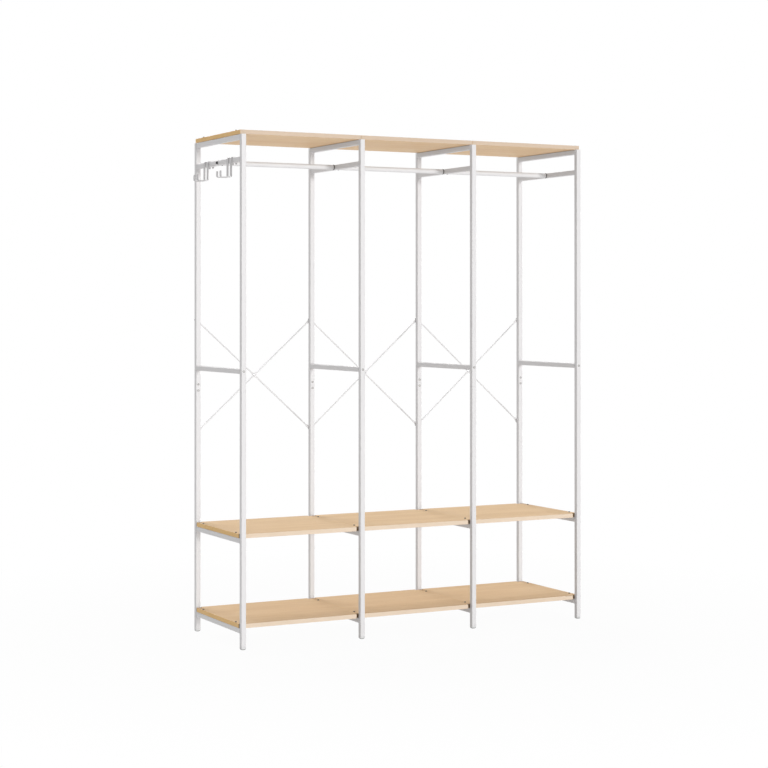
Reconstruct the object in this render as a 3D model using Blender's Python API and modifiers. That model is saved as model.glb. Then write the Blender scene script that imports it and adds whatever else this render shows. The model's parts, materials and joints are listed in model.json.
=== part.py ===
# Open garment rack with three bays: welded side frames of white square tube, wood boards on three levels,
# a hanging rod in each bay, crossed brace rods at the back and two double hooks on the left end.
# Metres, +Z up, +Y to the back. The origin is on the floor, at the middle of the rack's outline.
import math

import bmesh
import bpy
from mathutils import Matrix, Vector

# Overall sizes
WIDTH = 1.402           # over the outer faces of the two end frames
DEPTH = 0.435           # over the front and rear uprights
HEIGHT = 1.800          # floor to the upper face of the top boards
BAY_NAMES = ("left", "centre", "right")
FRAME_NAMES = ("left_end", "left_inner", "right_inner", "right_end")

# Square tube of the frames
TUBE = 0.018
TUBE_WALL = 0.001
TUBE_CORNER = 0.0025
BAR_INSET = 0.0002      # a welded bar lies this far inside the faces of its uprights
WELD_OVERLAP = 0.0005   # how far a bar's end is let into its upright, past the rounded corners

# Heights of the bars, to their middle, and of the splice in the uprights
BOTTOM_BAR_HEIGHT = 0.065
SHELF_BAR_HEIGHT = 0.376
SPLICE_HEIGHT = 0.892
MIDDLE_BAR_RISE = 0.0705 # of the middle bar above the splice
ROD_DROP = 0.0866       # from the underside of the top boards to the middle of the rod bar

# Sleeves inside the splices and plastic caps under the uprights
SLEEVE_LENGTH = 0.080
SLEEVE_WALL = 0.0012
CAP_HEIGHT = 0.010
CAP_ROUND = 0.0065
CAP_PLUG_LENGTH = 0.020

# Boards
BOARD = 0.015
BOARD_EDGE_ROUND = 0.0008
BOARD_SETBACK = 0.0115  # front and rear edges of a board lie this far inside the outer faces of the uprights
NOTCH_LEFT_GAP = 0.010  # between a notch and the left side of its upright
NOTCH_RIGHT_GAP = 0.004 # between a notch and the right side of its upright
NOTCH_BACK_GAP = 0.006  # between a notch and the inner face of its upright

# Hanging rods and their end plugs
ROD_DIAMETER = 0.018
ROD_WALL = 0.001
PLUG_LIP = 0.001        # how far the flange stands out past the rod
PLUG_FLANGE = 0.003
PLUG_FLANGE_ROUND = 0.00075
PLUG_LENGTH = 0.018
PLUG_HOLE_DIAMETER = 0.006

# Brace rods behind the rear uprights
BRACE_DIAMETER = 0.005
BRACE_LOW_HEIGHT = 0.7266
BRACE_HIGH_HEIGHT = 1.1388
BRACE_FLAT = 0.002      # thickness where a rod is hammered flat
BRACE_TAB_WIDTH = 0.009
BRACE_TAB_PAST = 0.0044 # how far the flat end runs past the side of its upright
BRACE_TAPER = 0.008
BRACE_CROSS_LENGTH = 0.014
BRACE_HOLE_DIAMETER = 0.005
RIVET_HEAD_DIAMETER = 0.009
RIVET_HEAD = 0.0015
RIVET_HEAD_ROUND = 0.0013

# Double hooks on the left rod bar, each folded from one sheet that is split into two fingers
HOOK_SHEET = 0.0025
HOOK_FINGER = 0.0145    # width of a finger
HOOK_PITCH = 0.0304     # between the middles of the two fingers
HOOK_DROP = 0.0495      # from the underside of the bar to the middle of the lower run
HOOK_REACH = 0.0404     # from the outer face of the frame to the middle of the prong
HOOK_PRONG = 0.0224     # height of the prong's tip above the lower run
HOOK_INNER_LEG = 0.0235 # from the upper face of the bar down its inner face
HOOK_BEND = 0.005       # radius of the sheet's middle in a free bend
HOOK_BEND_STEPS = 3
HOOK_TIP_STEPS = 4
HOOK_OFFSET = 0.1065    # from the middle of the two hooks to the middle of one
HOOK_FORWARD = 0.005    # of the middle of the two hooks, in front of the middle of the bar

# Fits
TOUCH = 0.0003          # gap left between faces that touch on the real rack
PLUG_FIT = 0.0003       # gap around a sleeve, plug or pin in its hole
PAST = 0.005            # how far a cutter reaches past what it cuts

# Facets
CORNER_STEPS = 2
CAP_STEPS = 3
ROD_SIDES = 24
PLUG_SIDES = 20
BRACE_SIDES = 12
HOLE_SIDES = 12
TAB_STEPS = (0.5, 0.8, 0.98)  # where a round tab end is cut across, as shares of its radius
SHARP_ANGLE = math.radians(50)

# Worked out from the sizes above
BAYS = len(BAY_NAMES)
BAY_PITCH = (WIDTH - TUBE) / BAYS
UPRIGHT_PITCH = DEPTH - TUBE
BORE = TUBE - 2 * TUBE_WALL
BORE_CORNER = max(TUBE_CORNER - TUBE_WALL, 0)
SLEEVE = BORE - 2 * PLUG_FIT
SLEEVE_CORNER = max(BORE_CORNER - PLUG_FIT, 0)
BAR = TUBE - 2 * BAR_INSET
BAR_BORE = BAR - 2 * TUBE_WALL
BAR_SPAN = UPRIGHT_PITCH - TUBE
WELD_DEPTH = TUBE_CORNER + WELD_OVERLAP
UPRIGHT_TOP = HEIGHT - BOARD - TOUCH
TOP_BAR_HEIGHT = UPRIGHT_TOP - BAR_INSET - BAR / 2
ROD_BAR_HEIGHT = HEIGHT - BOARD - ROD_DROP
MIDDLE_BAR_HEIGHT = SPLICE_HEIGHT + MIDDLE_BAR_RISE
BRACE_RISE = BRACE_HIGH_HEIGHT - BRACE_LOW_HEIGHT
BRACE_SLOPE = math.atan2(BRACE_RISE, BAY_PITCH)
BRACE_HALF = math.hypot(BAY_PITCH, BRACE_RISE) / 2
BRACE_TAB_LENGTH = (TUBE / 2 + BRACE_TAB_PAST) / math.cos(BRACE_SLOPE)
BRACE_LAYER = BRACE_FLAT + TOUCH
BRACE_FRONT_LAYER = TOUCH + BRACE_FLAT / 2
BRACE_REAR_LAYER = BRACE_FRONT_LAYER + BRACE_LAYER
RIVET_PLACE = (BRACE_FRONT_LAYER + BRACE_REAR_LAYER) / 2
RIVET_GRIP = (BRACE_LAYER + BRACE_FLAT) / 2 + TOUCH
BACK_PROUD = max(BRACE_REAR_LAYER + BRACE_DIAMETER / 2, RIVET_PLACE + RIVET_GRIP + RIVET_HEAD)
HOOK_PROUD = HOOK_REACH + HOOK_SHEET / 2
HOOK_SADDLE_BEND = TUBE_CORNER + TOUCH + HOOK_SHEET / 2

# The hooks stand out on the left and the braces at the back, so the frames lie off the middle by half of that
MIDDLE_X = HOOK_PROUD / 2
MIDDLE_Y = -BACK_PROUD / 2
FRONT_ROW = -UPRIGHT_PITCH / 2
REAR_ROW = UPRIGHT_PITCH / 2
REAR_FACE = DEPTH / 2

ROW_NAMES = (("front", FRONT_ROW), ("rear", REAR_ROW))

# Finishes: colour, roughness, metallic
FINISHES = {
    "white_powder_coat": ((0.83, 0.82, 0.81), 0.42, 0.0),
    "light_oak_board": ((0.72, 0.51, 0.33), 0.55, 0.0),
    "white_plastic": ((0.80, 0.80, 0.79), 0.5, 0.0),
    "dark_plastic": ((0.03, 0.03, 0.03), 0.5, 0.0),
    "zinc_steel": ((0.60, 0.60, 0.61), 0.35, 1.0),
}


def frame_x(index):
    """Middle of a side frame, counted from the left, in the rack's own middle."""
    return (index - BAYS / 2) * BAY_PITCH


def bay_x(index):
    return (frame_x(index) + frame_x(index + 1)) / 2


def clear_scene():
    for thing in list(bpy.data.objects):
        bpy.data.objects.remove(thing, do_unlink=True)


def make_collection(name):
    collection = bpy.data.collections.new(name)
    bpy.context.scene.collection.children.link(collection)
    return collection


def make_finish(name):
    colour, roughness, metallic = FINISHES[name]
    material = bpy.data.materials.new(name)
    material.use_nodes = True
    shader = material.node_tree.nodes["Principled BSDF"]
    shader.inputs["Base Color"].default_value = (*colour, 1.0)
    shader.inputs["Roughness"].default_value = roughness
    shader.inputs["Metallic"].default_value = metallic
    return material


def mesh_from(bm, name, finish=None):
    bmesh.ops.recalc_face_normals(bm, faces=bm.faces)
    mesh = bpy.data.meshes.new(name)
    bm.to_mesh(mesh)
    bm.free()
    mesh.shade_smooth()
    mesh.set_sharp_from_angle(angle=SHARP_ANGLE)
    if finish:
        mesh.materials.append(finish)
    return mesh


def add_part(name, mesh, parent, place=(0, 0, 0)):
    part = bpy.data.objects.new(name, mesh)
    part.parent = parent
    part.location = place
    PARTS.objects.link(part)
    return part


def add_guide(name, mesh, part):
    """A shape that is joined to a part or cut out of it, in the part's own place."""
    guide = bpy.data.objects.new(name, mesh)
    guide.parent = part.parent
    guide.location = part.location
    guide.rotation_euler = part.rotation_euler
    guide.hide_render = True
    guide.display_type = "WIRE"
    CUTTERS.objects.link(guide)
    return guide


def combine(part, mesh, operation):
    guide = add_guide(f"{part.name}_{mesh.name}", mesh, part)
    boolean = part.modifiers.new(mesh.name, "BOOLEAN")
    boolean.operation = operation
    boolean.solver = "EXACT"
    boolean.object = guide


def thicken(part, wall, side=-1.0):
    """Give an open tube its wall, inwards, or a sheet its thickness to both sides."""
    solidify = part.modifiers.new("wall", "SOLIDIFY")
    solidify.thickness = wall
    solidify.offset = side
    solidify.use_even_offset = True


def add_box(bm, size, middle=(0, 0, 0)):
    placed = Matrix.Translation(middle) @ Matrix.Diagonal((*size, 1.0))
    return bmesh.ops.create_cube(bm, size=1.0, matrix=placed)["verts"]


def add_tube_bar(bm, section, corner, length, axis, middle=(0, 0, 0)):
    """A square bar of the given length along one axis, with its long edges rounded as rolled tube is."""
    size = [section] * 3
    size[axis] = length
    verts = add_box(bm, size, middle)
    edges = {edge for vert in verts for edge in vert.link_edges}
    long_edges = [edge for edge in edges if abs(edge.verts[0].co[axis] - edge.verts[1].co[axis]) > length / 2]
    if corner > 0:
        bmesh.ops.bevel(bm, geom=long_edges, offset=corner, segments=CORNER_STEPS, profile=0.5,
                        affect="EDGES", clamp_overlap=True)


def upright_pair(low, high):
    bm = bmesh.new()
    for _, row in ROW_NAMES:
        add_tube_bar(bm, TUBE, TUBE_CORNER, high - low, 2, (0, row, (low + high) / 2))
    return bm


def upright_bores(low, high):
    bm = bmesh.new()
    for _, row in ROW_NAMES:
        add_tube_bar(bm, BORE, BORE_CORNER, high - low + 2 * PAST, 2, (0, row, (low + high) / 2))
    return bm


def welded_bars(heights):
    bm = bmesh.new()
    for height in heights:
        add_tube_bar(bm, BAR, TUBE_CORNER, BAR_SPAN + 2 * WELD_DEPTH, 1, (0, 0, height))
    return bm


def bar_bores(heights):
    """Run from bore to bore of the two uprights, so that no hollow is sealed."""
    bm = bmesh.new()
    for height in heights:
        add_tube_bar(bm, BAR_BORE, BORE_CORNER, UPRIGHT_PITCH, 1, (0, 0, height))
    return bm


class LadderShapes:
    """The meshes of one kind of welded side frame, shared by its four copies."""

    def __init__(self, kind, low, high, heights, finish):
        self.kind = kind
        self.pair = mesh_from(upright_pair(low, high), f"{kind}_frame", finish)
        self.bars = mesh_from(welded_bars(heights), "bars")
        self.bores = mesh_from(upright_bores(low, high), "bores")
        self.bar_bores = mesh_from(bar_bores(heights), "bar_bores")

    def place(self, frame_name, parent):
        part = add_part(f"{frame_name}_{self.kind}_frame", self.pair, parent)
        combine(part, self.bars, "UNION")
        combine(part, self.bores, "DIFFERENCE")
        combine(part, self.bar_bores, "DIFFERENCE")


def open_tube(section, corner, length, axis, finish, name):
    """A length of square tube without its end faces, ready for its wall."""
    bm = bmesh.new()
    add_tube_bar(bm, section, corner, length, axis)
    ends = [face for face in bm.faces if abs(face.normal[axis]) > 0.5]
    bmesh.ops.delete(bm, geom=ends, context="FACES_ONLY")
    return mesh_from(bm, name, finish)


def pull_face(bm, face, lift, share=1.0):
    """Pull a face along Z and scale it about the Z axis, with walls left behind it."""
    pulled = bmesh.ops.extrude_face_region(bm, geom=[face])["geom"]
    bmesh.ops.delete(bm, geom=[face], context="FACES_ONLY")
    verts = [item for item in pulled if isinstance(item, bmesh.types.BMVert)]
    bmesh.ops.scale(bm, verts=verts, vec=(share, share, 1.0))
    bmesh.ops.translate(bm, verts=verts, vec=(0, 0, lift))
    return next(item for item in pulled if isinstance(item, bmesh.types.BMFace))


def foot_cap_mesh(finish):
    """A foot as wide as the tube with a domed sole, and a plug above it inside the bore."""
    bm = bmesh.new()
    straight = CAP_HEIGHT - CAP_ROUND
    add_tube_bar(bm, TUBE, TUBE_CORNER, straight, 2, (0, 0, CAP_ROUND + straight / 2))
    sole = min(bm.faces, key=lambda face: face.calc_center_median().z)
    top = max(bm.faces, key=lambda face: face.calc_center_median().z)
    reach, drop = TUBE / 2, 0
    for step in range(1, CAP_STEPS + 1):
        angle = math.pi / 2 * step / CAP_STEPS
        next_reach = TUBE / 2 - CAP_ROUND * (1 - math.cos(angle))
        next_drop = CAP_ROUND * math.sin(angle)
        sole = pull_face(bm, sole, drop - next_drop, next_reach / reach)
        reach, drop = next_reach, next_drop
    seat = pull_face(bm, top, 0, SLEEVE / TUBE)
    pull_face(bm, seat, CAP_PLUG_LENGTH)
    return mesh_from(bm, "foot_cap", finish)


def board_mesh(width, name, finish):
    bm = bmesh.new()
    add_box(bm, (width, DEPTH - 2 * BOARD_SETBACK, BOARD))
    bmesh.ops.bevel(bm, geom=list(bm.edges), offset=BOARD_EDGE_ROUND, segments=1, profile=0.5,
                    affect="EDGES", clamp_overlap=True)
    return mesh_from(bm, name, finish)


def board_ends(bay):
    """Left and right end of a bay's boards: flush with an end frame, meeting on a middle one."""
    left = frame_x(bay) + TOUCH
    right = frame_x(bay + 1) - TOUCH
    if bay == 0:
        left = frame_x(0) - TUBE / 2
    if bay == BAYS - 1:
        right = frame_x(BAYS) + TUBE / 2
    return left, right


def notch_mesh(bay, middle):
    """Four blocks that clear the uprights at the corners of a bay's shelf board."""
    width = TUBE + NOTCH_LEFT_GAP + NOTCH_RIGHT_GAP
    off_frame = (NOTCH_RIGHT_GAP - NOTCH_LEFT_GAP) / 2
    reach = TUBE + NOTCH_BACK_GAP
    bm = bmesh.new()
    for frame in (bay, bay + 1):
        across = frame_x(frame) + off_frame - middle
        for side in (-1, 1):
            corner = side * (REAR_FACE + PAST - (reach + PAST) / 2)
            add_box(bm, (width, reach + PAST, BOARD + 2 * PAST), (across, corner, 0))
    return mesh_from(bm, "notches")


def turned_mesh(profile, name, finish):
    """A closed outline of (radius, height) pairs, ready to be turned about Z."""
    bm = bmesh.new()
    ring = [bm.verts.new((radius, 0, height)) for radius, height in profile]
    for start, end in zip(ring, ring[1:] + ring[:1]):
        bm.edges.new((start, end))
    mesh = bpy.data.meshes.new(name)
    bm.to_mesh(mesh)
    bm.free()
    mesh.materials.append(finish)
    return mesh


def turn(part, sides):
    screw = part.modifiers.new("turned", "SCREW")
    screw.steps = sides
    screw.render_steps = sides
    screw.use_merge_vertices = True
    screw.merge_threshold = 0.00001
    screw.use_normal_calculate = True


def plug_profile():
    """Flange below, shank above, with a hole for the rod's bolt right through."""
    hole = PLUG_HOLE_DIAMETER / 2
    shank = ROD_DIAMETER / 2 - ROD_WALL - PLUG_FIT
    flange = ROD_DIAMETER / 2 + PLUG_LIP
    tip = PLUG_FLANGE + PLUG_LENGTH
    soft = PLUG_FLANGE_ROUND
    return [(hole, tip), (shank, tip), (shank, PLUG_FLANGE), (flange - soft, PLUG_FLANGE),
            (flange, PLUG_FLANGE - soft), (flange, 0), (hole, 0)]


def rod_mesh(length, finish):
    """A round tube along X without its end faces, ready for its wall."""
    bm = bmesh.new()
    bmesh.ops.create_cone(bm, cap_ends=False, segments=ROD_SIDES, radius1=ROD_DIAMETER / 2,
                          radius2=ROD_DIAMETER / 2, depth=length, matrix=Matrix.Rotation(math.pi / 2, 4, "Y"))
    return mesh_from(bm, "hanging_rod", finish)


def brace_section(along):
    """Half width and half thickness of a brace rod at a distance from its middle."""
    radius = BRACE_DIAMETER / 2
    tab = BRACE_TAB_WIDTH / 2
    flat = BRACE_FLAT / 2
    past_hole = along - BRACE_HALF
    if past_hole > 0:
        return math.sqrt(tab ** 2 - past_hole ** 2), flat
    from_tab = max(-past_hole - BRACE_TAB_LENGTH, 0)
    from_cross = max(along - BRACE_CROSS_LENGTH / 2, 0)
    blend = min(from_tab, from_cross, BRACE_TAPER) / BRACE_TAPER
    return tab + (radius - tab) * blend, flat + (radius - flat) * blend


def brace_mesh(finish):
    """A rod along X, hammered flat at both ends and in the middle, with round tab ends."""
    cross = BRACE_CROSS_LENGTH / 2
    tab_start = BRACE_HALF - BRACE_TAB_LENGTH
    steps = [BRACE_HALF + share * BRACE_TAB_WIDTH / 2 for share in TAB_STEPS]
    lying = Matrix.Rotation(math.pi / 2, 4, "Y") @ Matrix.Rotation(math.pi / BRACE_SIDES, 4, "Z")
    bm = bmesh.new()
    bmesh.ops.create_cone(bm, cap_ends=True, segments=BRACE_SIDES, radius1=BRACE_DIAMETER / 2,
                          radius2=BRACE_DIAMETER / 2, depth=2 * steps[-1], matrix=lying)
    for station in [cross, cross + BRACE_TAPER, tab_start - BRACE_TAPER, tab_start, BRACE_HALF, *steps[:-1]]:
        for side in (-1, 1):
            bmesh.ops.bisect_plane(bm, geom=bm.verts[:] + bm.edges[:] + bm.faces[:],
                                   plane_co=(side * station, 0, 0), plane_no=(1, 0, 0))
    for vert in bm.verts:
        width, thickness = brace_section(abs(vert.co.x))
        vert.co.y = max(-thickness, min(thickness, vert.co.y))
        vert.co.z *= width / (BRACE_DIAMETER / 2)
    return mesh_from(bm, "brace_rod", finish)


def brace_holes():
    bm = bmesh.new()
    for along in (-BRACE_HALF, 0, BRACE_HALF):
        bmesh.ops.create_cone(bm, cap_ends=True, segments=HOLE_SIDES, radius1=BRACE_HOLE_DIAMETER / 2,
                              radius2=BRACE_HOLE_DIAMETER / 2, depth=BRACE_DIAMETER + 2 * PAST,
                              matrix=Matrix.Translation((along, 0, 0)) @ Matrix.Rotation(math.pi / 2, 4, "X"))
    return mesh_from(bm, "holes")


def rivet_profile():
    """From the rear head down to the front head, about the middle of the two crossing rods."""
    pin = BRACE_HOLE_DIAMETER / 2 - PLUG_FIT
    head = RIVET_HEAD_DIAMETER / 2
    top = RIVET_GRIP + RIVET_HEAD
    upper = [(0, top), (head - RIVET_HEAD_ROUND, top), (head, RIVET_GRIP + RIVET_HEAD / 2),
             (head, RIVET_GRIP), (pin, RIVET_GRIP)]
    return upper + [(radius, -height) for radius, height in reversed(upper)]


def rounded_path(corners, radii, steps):
    """The corners of a folded strip, each inner one replaced by an arc that touches both of its runs."""
    path = [corners[0]]
    for before, corner, after, radius in zip(corners, corners[1:], corners[2:], radii[1:]):
        back = (before - corner).normalized()
        on = (after - corner).normalized()
        half_angle = back.angle(on) / 2
        centre = corner + (back + on).normalized() * radius / math.sin(half_angle)
        start = corner + back * radius / math.tan(half_angle) - centre
        end = corner + on * radius / math.tan(half_angle) - centre
        turn_axis = start.cross(end)
        sweep = math.pi - 2 * half_angle
        for step in range(steps + 1):
            path.append(centre + Matrix.Rotation(sweep * step / steps, 3, turn_axis) @ start)
    path.append(corners[-1])
    return path


def finger_tip(end, inward):
    """The round end of a finger: places from its tip inwards, each with the finger's half width there."""
    radius = HOOK_FINGER / 2
    angles = [math.pi / 2 * step / HOOK_TIP_STEPS for step in range(1, HOOK_TIP_STEPS + 1)]
    return [(end + inward * radius * (1 - math.cos(angle)), radius * math.sin(angle)) for angle in angles]


def finger_stations():
    """Down from the prong's tip, up and over the bar and down its inner face, about the middle of the rod bar."""
    face = BAR / 2
    over = face + TOUCH + HOOK_SHEET / 2
    low = -face - HOOK_DROP
    prong = -TUBE / 2 - HOOK_REACH
    tip = Vector((prong, 0, low + HOOK_PRONG))
    inner_tip = Vector((over, 0, face - HOOK_INNER_LEG))
    folds = [Vector(fold) for fold in ((prong, 0, low), (-over, 0, low), (-over, 0, over), (over, 0, over))]
    radii = [0, HOOK_BEND, HOOK_BEND, HOOK_SADDLE_BEND, HOOK_SADDLE_BEND]
    path = rounded_path([tip, *folds, inner_tip], radii, HOOK_BEND_STEPS)
    stations = finger_tip(tip, Vector((0, 0, -1)))
    stations += [(place, HOOK_FINGER / 2) for place in path[1:-1]]
    return stations + finger_tip(inner_tip, Vector((0, 0, 1)))[::-1]


def hook_mesh(finish):
    """A sheet without its thickness: two fingers that are joined where they lie on the bar."""
    bm = bmesh.new()
    rows = []
    for place, half in finger_stations():
        edges = [side * HOOK_PITCH / 2 + way * half for side in (-1, 1) for way in (-1, 1)]
        rows.append([bm.verts.new((place.x, along, place.z)) for along in edges])
    for row, following in zip(rows, rows[1:]):
        on_bar = min(row[0].co.z, following[0].co.z) > BAR / 2 + TOUCH
        for column in (0, 1, 2) if on_bar else (0, 2):
            bm.faces.new((row[column], row[column + 1], following[column + 1], following[column]))
    return mesh_from(bm, "double_hook", finish)


def build_frames(rack, finishes):
    coat = finishes["white_powder_coat"]
    lower_bars = (BOTTOM_BAR_HEIGHT, SHELF_BAR_HEIGHT)
    upper_bars = (ROD_BAR_HEIGHT, TOP_BAR_HEIGHT)
    lower = LadderShapes("lower", CAP_HEIGHT + TOUCH, SPLICE_HEIGHT - TOUCH / 2, lower_bars, coat)
    upper = LadderShapes("upper", SPLICE_HEIGHT + TOUCH / 2, UPRIGHT_TOP, upper_bars, coat)
    middle_bar = open_tube(BAR, TUBE_CORNER, BAR_SPAN - 2 * TOUCH, 1, coat, "middle_bar")
    sleeve = open_tube(SLEEVE, SLEEVE_CORNER, SLEEVE_LENGTH, 2, finishes["zinc_steel"], "joint_sleeve")
    cap = foot_cap_mesh(finishes["white_plastic"])
    for index, name in enumerate(FRAME_NAMES):
        frame = bpy.data.objects.new(f"{name}_frame", None)
        frame.parent = rack
        frame.location = (frame_x(index), 0, 0)
        PARTS.objects.link(frame)
        lower.place(name, frame)
        upper.place(name, frame)
        bar = add_part(f"{name}_middle_bar", middle_bar, frame, (0, 0, MIDDLE_BAR_HEIGHT))
        thicken(bar, TUBE_WALL)
        for row_name, row in ROW_NAMES:
            joint = add_part(f"{name}_{row_name}_joint_sleeve", sleeve, frame, (0, row, SPLICE_HEIGHT))
            thicken(joint, SLEEVE_WALL)
            add_part(f"{name}_{row_name}_foot_cap", cap, frame, (0, row, 0))


def build_boards(rack, finishes):
    wood = finishes["light_oak_board"]
    levels = (("bottom_shelf", BOTTOM_BAR_HEIGHT + BAR / 2 + TOUCH),
              ("lower_shelf", SHELF_BAR_HEIGHT + BAR / 2 + TOUCH),
              ("top", UPRIGHT_TOP + TOUCH))
    for bay, bay_name in enumerate(BAY_NAMES):
        left, right = board_ends(bay)
        middle = (left + right) / 2
        plain = board_mesh(right - left, f"{bay_name}_board", wood)
        notches = notch_mesh(bay, middle)
        for level, underside in levels:
            board = add_part(f"{bay_name}_{level}_board", plain, rack, (middle, 0, underside + BOARD / 2))
            if level != "top":
                combine(board, notches, "DIFFERENCE")


def build_rods(rack, finishes):
    flange_face = BAR / 2 + TOUCH
    length = BAY_PITCH - 2 * (flange_face + PLUG_FLANGE + TOUCH)
    rod = rod_mesh(length, finishes["white_powder_coat"])
    plug = turned_mesh(plug_profile(), "rod_end_plug", finishes["dark_plastic"])
    for bay, bay_name in enumerate(BAY_NAMES):
        tube = add_part(f"{bay_name}_hanging_rod", rod, rack, (bay_x(bay), 0, ROD_BAR_HEIGHT))
        thicken(tube, ROD_WALL)
        for side, side_name, frame in ((1, "left", bay), (-1, "right", bay + 1)):
            seat = (frame_x(frame) + side * flange_face, 0, ROD_BAR_HEIGHT)
            end = add_part(f"{bay_name}_rod_{side_name}_end_plug", plug, rack, seat)
            end.rotation_euler = (0, side * math.pi / 2, 0)
            turn(end, PLUG_SIDES)


def build_braces(rack, finishes):
    rod = brace_mesh(finishes["white_powder_coat"])
    holes = brace_holes()
    rivet = turned_mesh(rivet_profile(), "brace_rivet", finishes["zinc_steel"])
    height = (BRACE_HIGH_HEIGHT + BRACE_LOW_HEIGHT) / 2
    ways = (("rising", BRACE_FRONT_LAYER, -BRACE_SLOPE), ("falling", BRACE_REAR_LAYER, BRACE_SLOPE))
    for bay, bay_name in enumerate(BAY_NAMES):
        for way, layer, turned in ways:
            place = (bay_x(bay), REAR_FACE + layer, height)
            brace = add_part(f"{bay_name}_{way}_brace_rod", rod, rack, place)
            brace.rotation_euler = (0, turned, 0)
            combine(brace, holes, "DIFFERENCE")
        pin = add_part(f"{bay_name}_brace_rivet", rivet, rack, (bay_x(bay), REAR_FACE + RIVET_PLACE, height))
        pin.rotation_euler = (-math.pi / 2, 0, 0)
        turn(pin, HOLE_SIDES)


def build_hooks(rack, finishes):
    hook = hook_mesh(finishes["white_powder_coat"])
    for row_name, side in (("front", -1), ("rear", 1)):
        place = (frame_x(0), side * HOOK_OFFSET - HOOK_FORWARD, ROD_BAR_HEIGHT)
        folded = add_part(f"{row_name}_double_hook", hook, rack, place)
        thicken(folded, HOOK_SHEET, 0.0)


clear_scene()
PARTS = make_collection("garment_rack")
CUTTERS = make_collection("garment_rack_cutters")


def main():
    finishes = {name: make_finish(name) for name in FINISHES}
    rack = bpy.data.objects.new("garment_rack", None)
    rack.location = (MIDDLE_X, MIDDLE_Y, 0)
    PARTS.objects.link(rack)
    build_frames(rack, finishes)
    build_boards(rack, finishes)
    build_rods(rack, finishes)
    build_braces(rack, finishes)
    build_hooks(rack, finishes)
    bpy.context.view_layer.update()


main()
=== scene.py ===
# Looks of the open garment rack: powder coated tube frames with their welds and screws, banded wood boards,
# hanging rails, crossed brace rods and folded double hooks, on a pale floor in soft studio light.
# Metres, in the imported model's own frame: +Z up, +Y to the back, the photograph's left at -X.
import json
import math

import bmesh
import bpy
from mathutils import Matrix, Vector

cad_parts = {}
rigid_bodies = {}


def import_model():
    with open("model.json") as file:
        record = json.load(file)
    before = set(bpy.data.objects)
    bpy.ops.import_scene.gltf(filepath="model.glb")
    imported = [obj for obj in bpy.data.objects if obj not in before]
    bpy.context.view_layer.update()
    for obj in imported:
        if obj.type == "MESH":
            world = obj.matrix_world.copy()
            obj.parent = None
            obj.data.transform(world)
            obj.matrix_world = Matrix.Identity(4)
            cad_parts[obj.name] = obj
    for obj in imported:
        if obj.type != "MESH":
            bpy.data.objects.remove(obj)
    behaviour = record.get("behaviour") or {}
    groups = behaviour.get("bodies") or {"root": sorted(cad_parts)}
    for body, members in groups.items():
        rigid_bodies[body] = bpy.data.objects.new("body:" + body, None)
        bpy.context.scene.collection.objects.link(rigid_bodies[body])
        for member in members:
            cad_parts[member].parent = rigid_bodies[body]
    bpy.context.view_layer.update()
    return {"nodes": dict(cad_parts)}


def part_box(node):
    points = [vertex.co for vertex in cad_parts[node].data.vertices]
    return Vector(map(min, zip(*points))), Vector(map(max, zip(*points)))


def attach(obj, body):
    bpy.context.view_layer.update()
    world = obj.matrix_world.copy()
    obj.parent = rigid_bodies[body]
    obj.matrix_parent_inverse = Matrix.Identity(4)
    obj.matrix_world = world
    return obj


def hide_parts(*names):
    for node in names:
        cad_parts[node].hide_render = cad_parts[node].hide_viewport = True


for start_object in list(bpy.data.objects):
    bpy.data.objects.remove(start_object, do_unlink=True)

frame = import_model()

BAY_NAMES = ("left", "centre", "right")
FRAME_NAMES = ("left_end", "left_inner", "right_inner", "right_end")
ROW_NAMES = ("front", "rear")

# Square tube, as in the part
TUBE_WALL = 0.001
TUBE_CORNER = 0.0025
BAR_INSET = 0.0002      # a bar is this much slimmer than an upright, on each side
TOUCH = 0.0003          # gap between pieces that rest on each other
WELD_DEPTH = 0.0009     # how far a bar's end is let into the wall of its upright
WELD_BEAD = 0.0013      # radius of the bead round a bar's end
WELD_BEAD_SINK = 0.0005
WELD_RIPPLE = 0.13      # share by which the bead swells at each ripple
WELD_RIPPLES_PER_SIDE = 7
WELD_RIPPLE_POINTS = 3

# Feet, and the plugs in the upper ends of the uprights
CAP_ROUND = 0.0065
CAP_PLUG_LENGTH = 0.020
SHADED_UNDERSIDE_SLOPE = -0.3       # faces that look down more than this get the darker grey, painted shade under the foot
TOP_PLUG_LENGTH = 0.012

# Boards
BOARD_EDGE_ROUND = 0.0008
BOARD_RIM_ANGLE = 0.1   # edges that turn outwards by more than this are eased, in radians
NOTCH_LEFT_GAP = 0.010
NOTCH_RIGHT_GAP = 0.004
NOTCH_BACK_GAP = 0.006

# Hanging rails and their end plugs
RAIL_WALL = 0.001
RAIL_END_ROUND = 0.0003
PLUG_FLANGE = 0.003
PLUG_FLANGE_ROUND = 0.00075
PLUG_LENGTH = 0.018
PLUG_FIT = 0.0003
PLUG_HOLE = 0.003

# Brace rods and the pins where they cross
BRACE_RADIUS = 0.0025
BRACE_HIGH = 1.1388
BRACE_LOW = 0.7266
BRACE_FLAT = 0.002
BRACE_TAB_WIDTH = 0.009
BRACE_TAB_PAST = 0.0044
BRACE_TAPER = 0.008
BRACE_CROSS_LENGTH = 0.014
BRACE_TAB_ANGLES = range(10, 90, 10)   # degrees round a tab's end
PIN_HEAD = 0.0045
PIN_SHANK = 0.0022
PIN_DOME = 0.0015

# Double hooks
HOOK_SHEET = 0.0025
HOOK_RIM = 0.0005
HOOK_FINGER = 0.0145
HOOK_PITCH = 0.0304
HOOK_DROP = 0.0495
HOOK_REACH = 0.0404
HOOK_PRONG = 0.0224
HOOK_INNER_LEG = 0.0235
HOOK_BEND = 0.005
HOOK_TIP_ANGLES = range(15, 91, 15)    # degrees round a finger's tip
HOOK_COLUMNS = 3                       # a finger, the web and the other finger
HOOK_RIM_ANGLE = math.radians(50)

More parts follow.
